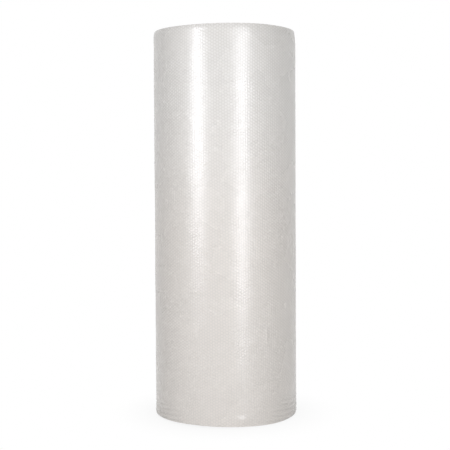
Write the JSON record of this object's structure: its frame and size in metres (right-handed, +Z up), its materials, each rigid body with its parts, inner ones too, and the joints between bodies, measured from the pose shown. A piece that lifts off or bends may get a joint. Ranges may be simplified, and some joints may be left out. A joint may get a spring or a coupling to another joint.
{
  "type": "bubble film roll",
  "caption": "Tall wound roll of clear air-bubble cushioning film standing on its end, used to wrap and pad goods for packing and shipping.",
  "frame": {"origin": "middle of the foot of the standing roll, on the floor", "axes": "+Z up along the roll's axis, across the film's width; the film's outer end lies at the back, at +Y"},
  "size_m": [0.563, 0.565, 1.5],
  "materials": {
    "bubble_film": "satin, slightly see-through"
  },
  "bodies": {
    "root": {"wound_bubble_film": "bubble_film"}
  },
  "joints": []
}
